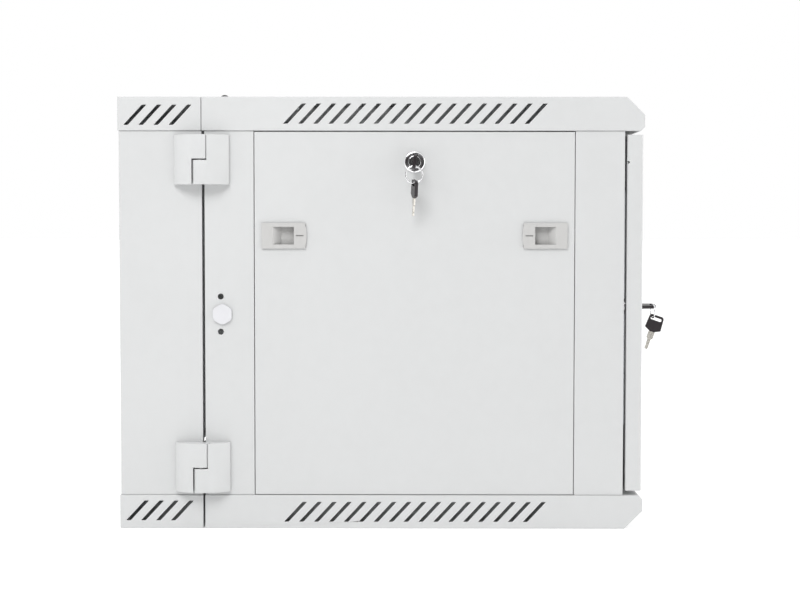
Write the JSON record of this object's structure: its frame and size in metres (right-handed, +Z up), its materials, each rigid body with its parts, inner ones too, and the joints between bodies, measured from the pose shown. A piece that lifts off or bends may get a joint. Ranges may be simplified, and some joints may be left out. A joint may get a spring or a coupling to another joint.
{
  "type": "network server rack cabinet",
  "caption": "Wall-mounted rack cabinet whose main section swings off a shallow wall section, with a glass front door, slotted caps, lift-off side panels, locks and square-hole rails.",
  "frame": {"origin": "centre of the cabinet's flat underside, which is the lowest face", "axes": "+Z up, front door towards -Y, wall at +Y, swing hinges and the pictured side at -X"},
  "size_m": [0.6307, 0.6365, 0.5025],
  "materials": {
    "paint": "light grey textured powder coat",
    "rail_zinc": "zinc plated",
    "chrome": "polished",
    "nickel": "satin nickel",
    "zinc": "zinc plated",
    "latch_plastic": "warm grey moulded",
    "white_plastic": "smooth",
    "black_plastic": "moulded",
    "black_rubber": "matt",
    "glass": "tinted toughened"
  },
  "bodies": {
    "wall_section": {"wall_back_panel": "paint", "wall_top_cap": "paint", "wall_bottom_cap": "paint", "wall_side_left": "paint", "wall_side_right": "paint", "wall_hinge_leaf_upper": "paint", "wall_hinge_leaf_lower": "paint", "hinge_pins": "zinc", "swing_lock_strike": "zinc", "cable_edge_trim": "black_rubber", "wall_screws": "zinc"},
    "main_section": {"main_top_cap": "paint", "main_bottom_cap": "paint", "post_front_left": "paint", "post_front_right": "paint", "post_rear_left": "paint", "post_rear_right": "paint", "side_panel_left": "paint", "side_panel_right": "paint", "main_hinge_leaf_upper": "paint", "main_hinge_leaf_lower": "paint", "rear_post_plug": "white_plastic", "top_plugs": "black_plastic", "rack_rail_front_left": "rail_zinc", "rack_rail_front_right": "rail_zinc", "rack_rail_rear_left": "rail_zinc", "rack_rail_rear_right": "rail_zinc", "fan_grille": "paint", "top_cable_cover": "paint", "side_lock_body_left": "chrome", "side_lock_body_right": "chrome", "swing_lock_body": "chrome", "lock_nuts": "zinc", "main_screws": "zinc"},
    "front_door": {"door_frame": "paint", "door_glass": "glass", "door_hinge_pins": "zinc", "door_lock_body": "chrome"},
    "door_lock": {"door_lock_plug": "chrome", "door_lock_cam": "zinc", "door_key_blade": "nickel", "door_key_bow": "black_plastic"},
    "door_ring": {"door_key_ring": "chrome"},
    "door_spare": {"door_spare_blade": "nickel", "door_spare_bow": "black_plastic"},
    "side_lock_left": {"side_lock_plug_left": "chrome", "side_lock_cam_left": "zinc", "side_key_blade": "nickel", "side_key_bow": "black_plastic"},
    "side_ring": {"side_key_ring": "chrome"},
    "side_spare": {"side_spare_blade": "nickel", "side_spare_bow": "black_plastic"},
    "side_lock_right": {"side_lock_plug_right": "chrome", "side_lock_cam_right": "zinc"},
    "swing_lock": {"swing_lock_plug": "chrome", "swing_lock_cam": "zinc"},
    "latch_lr": {"latch_left_rear": "latch_plastic"},
    "latch_lf": {"latch_left_front": "latch_plastic"},
    "latch_rr": {"latch_right_rear": "latch_plastic"},
    "latch_rf": {"latch_right_front": "latch_plastic"}
  },
  "joints": [
    {"name": "main_swing", "type": "hinge", "parent": "wall_section", "child": "main_section", "pos_m": [-0.31, 0.20725, 0.25], "axis": [0, 0, -1], "range_deg": [0, 95]},
    {"name": "door_swing", "type": "hinge", "parent": "main_section", "child": "front_door", "pos_m": [0.2905, -0.29285, 0.25], "axis": [0, 0, 1], "range_deg": [0, 180]},
    {"name": "door_lock_turn", "type": "hinge", "parent": "front_door", "child": "door_lock", "pos_m": [-0.253, -0.302, 0.257], "axis": [0, -1, 0], "range_deg": [0, 90]},
    {"name": "door_ring_swing", "type": "hinge", "parent": "door_lock", "child": "door_ring", "pos_m": [-0.26075, -0.3201, 0.257], "axis": [1, 0, 0], "range_deg": [-8, 2]},
    {"name": "door_spare_swing", "type": "hinge", "parent": "door_ring", "child": "door_spare", "pos_m": [-0.26075, -0.3201, 0.24365], "axis": [1, 0, 0], "range_deg": [-30, 2]},
    {"name": "side_lock_left_turn", "type": "hinge", "parent": "main_section", "child": "side_lock_left", "pos_m": [-0.2985, -0.03857, 0.425], "axis": [-1, 0, 0], "range_deg": [0, 90]},
    {"name": "side_ring_swing", "type": "hinge", "parent": "side_lock_left", "child": "side_ring", "pos_m": [-0.3159, -0.03762, 0.41967], "axis": [0, 1, 0], "range_deg": [-3, 40]},
    {"name": "side_spare_swing", "type": "hinge", "parent": "side_ring", "child": "side_spare", "pos_m": [-0.3159, -0.03762, 0.40037], "axis": [0, 1, 0], "range_deg": [-3, 40]},
    {"name": "side_lock_right_turn", "type": "hinge", "parent": "main_section", "child": "side_lock_right", "pos_m": [0.2985, -0.03857, 0.425], "axis": [1, 0, 0], "range_deg": [0, 90]},
    {"name": "swing_lock_turn", "type": "hinge", "parent": "main_section", "child": "swing_lock", "pos_m": [0.2985, 0.18345, 0.2495], "axis": [-1, 0, 0], "range_deg": [0, 90]},
    {"name": "latch_lr_slide", "type": "slide", "parent": "main_section", "child": "latch_lr", "axis": [0, -1, 0], "range_m": [0, 0.008], "stiffness_N_per_m": 200},
    {"name": "latch_lf_slide", "type": "slide", "parent": "main_section", "child": "latch_lf", "axis": [0, 1, 0], "range_m": [0, 0.008], "stiffness_N_per_m": 200},
    {"name": "latch_rr_slide", "type": "slide", "parent": "main_section", "child": "latch_rr", "axis": [0, -1, 0], "range_m": [0, 0.008], "stiffness_N_per_m": 200},
    {"name": "latch_rf_slide", "type": "slide", "parent": "main_section", "child": "latch_rf", "axis": [0, 1, 0], "range_m": [0, 0.008], "stiffness_N_per_m": 200}
  ]
}
